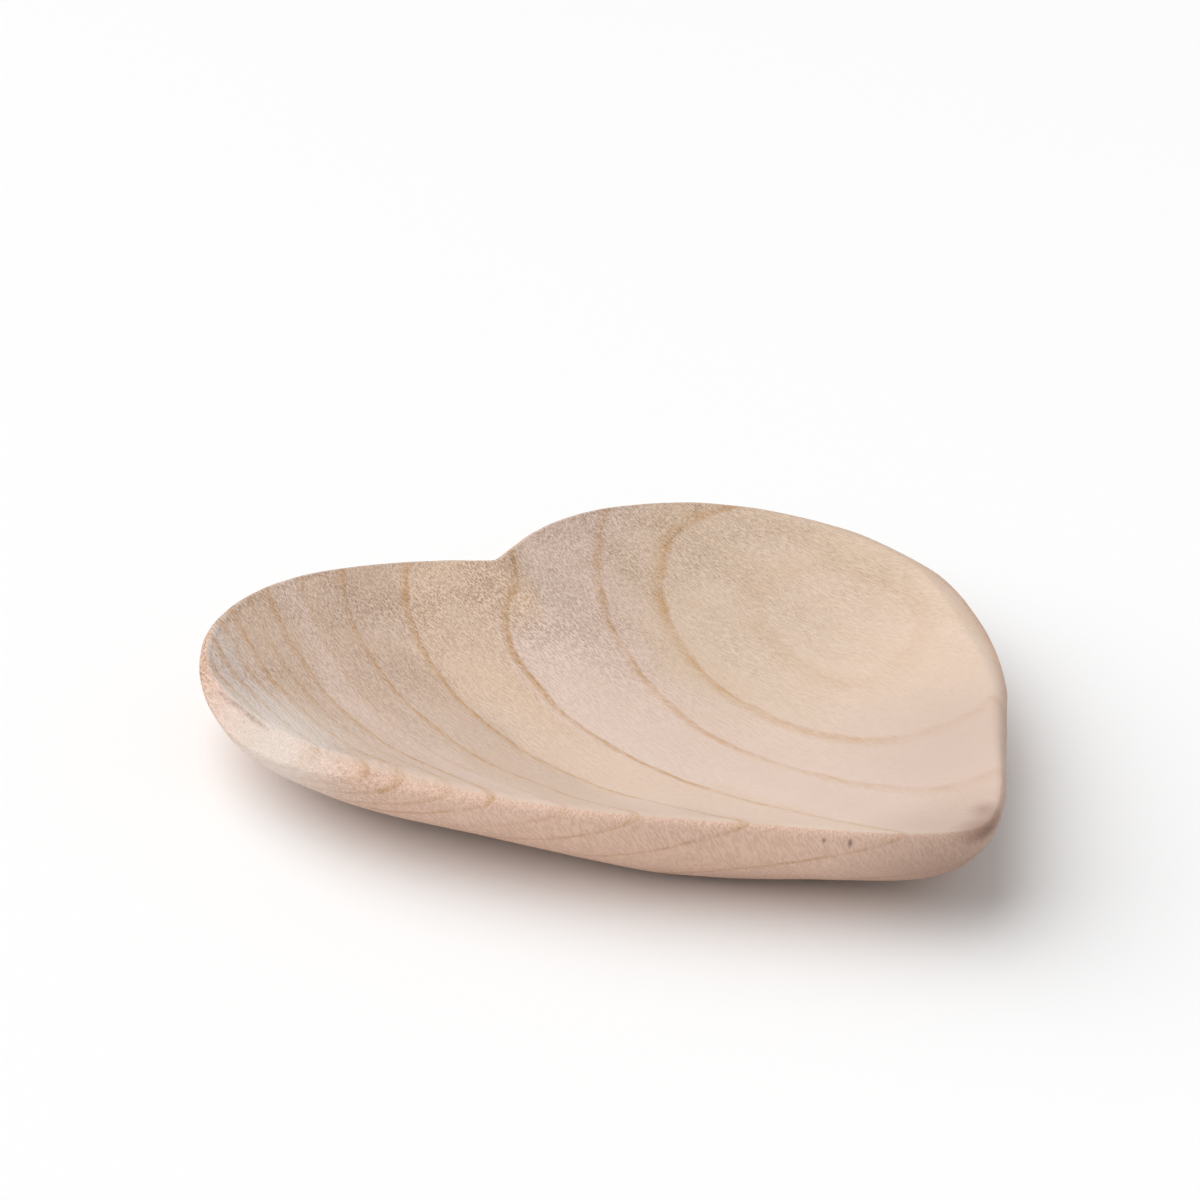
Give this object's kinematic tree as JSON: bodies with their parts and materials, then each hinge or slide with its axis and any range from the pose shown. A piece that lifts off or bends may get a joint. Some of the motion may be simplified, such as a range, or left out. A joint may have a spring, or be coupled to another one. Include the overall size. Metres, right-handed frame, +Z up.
{
  "type": "heart-shaped wooden dish",
  "caption": "Shallow heart-shaped decorative dish carved from one solid piece of pale wood, with flared outer walls, a rounded rim and a smooth dished hollow.",
  "frame": {"origin": "middle of the heart's length and width, on the surface that the dish stands on", "axes": "+Z up out of the hollow, +Y along the heart from its point to the notch between its lobes, +X across the lobes"},
  "size_m": [0.248, 0.25, 0.028],
  "materials": {
    "pale_wood": "unfinished, sanded matt"
  },
  "bodies": {
    "root": {"heart_dish": "pale_wood"}
  },
  "joints": []
}
